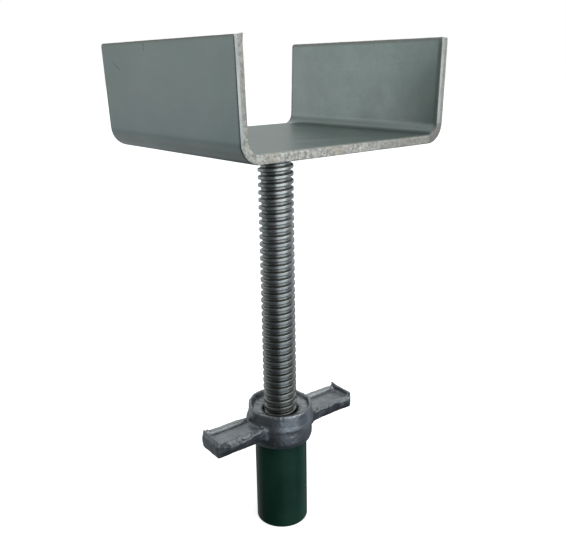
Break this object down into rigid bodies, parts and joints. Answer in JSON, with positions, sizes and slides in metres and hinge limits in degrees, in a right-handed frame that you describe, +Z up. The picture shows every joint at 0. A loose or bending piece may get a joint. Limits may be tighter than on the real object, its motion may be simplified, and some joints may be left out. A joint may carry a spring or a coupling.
{
  "type": "u-head screw jack",
  "caption": "Prop-top screw jack: a folded U-shaped head plate on a coarse-threaded steel spindle, raised by a cast wing nut that turns on the end of a round prop tube.",
  "frame": {"origin": "centre of the tube's foot, on the spindle's axis", "axes": "+Z up along the spindle; X across the head's channel from flange to flange; Y along the channel"},
  "size_m": [0.2594, 0.228, 0.5454],
  "materials": {
    "zinc_plate": "satin zinc plating over hot-rolled plate",
    "weld_steel": "plated weld bead",
    "thread_steel": "rolled thread, bright and worn",
    "cast_iron": "as cast, plated grey",
    "green_paint": "glossy dark green paint"
  },
  "bodies": {
    "tube": {"tube": "green_paint"},
    "nut": {"jack_nut": "cast_iron"},
    "head": {"u_plate": "zinc_plate", "weld_bead": "weld_steel", "spindle": "thread_steel"}
  },
  "joints": [
    {"name": "nut_spin", "type": "hinge", "parent": "tube", "child": "nut", "pos_m": [0, 0, 0.1135], "axis": [0, 0, 1], "range_deg": [-3060, 1710]},
    {"name": "jack_slide", "type": "slide", "parent": "tube", "child": "head", "axis": [0, 0, 1], "range_m": [-0.04, 0.07]}
  ],
  "couplings": [
    {"joint": "jack_slide", "follows": "nut_spin", "m_per_rad": -0.0012732}
  ]
}
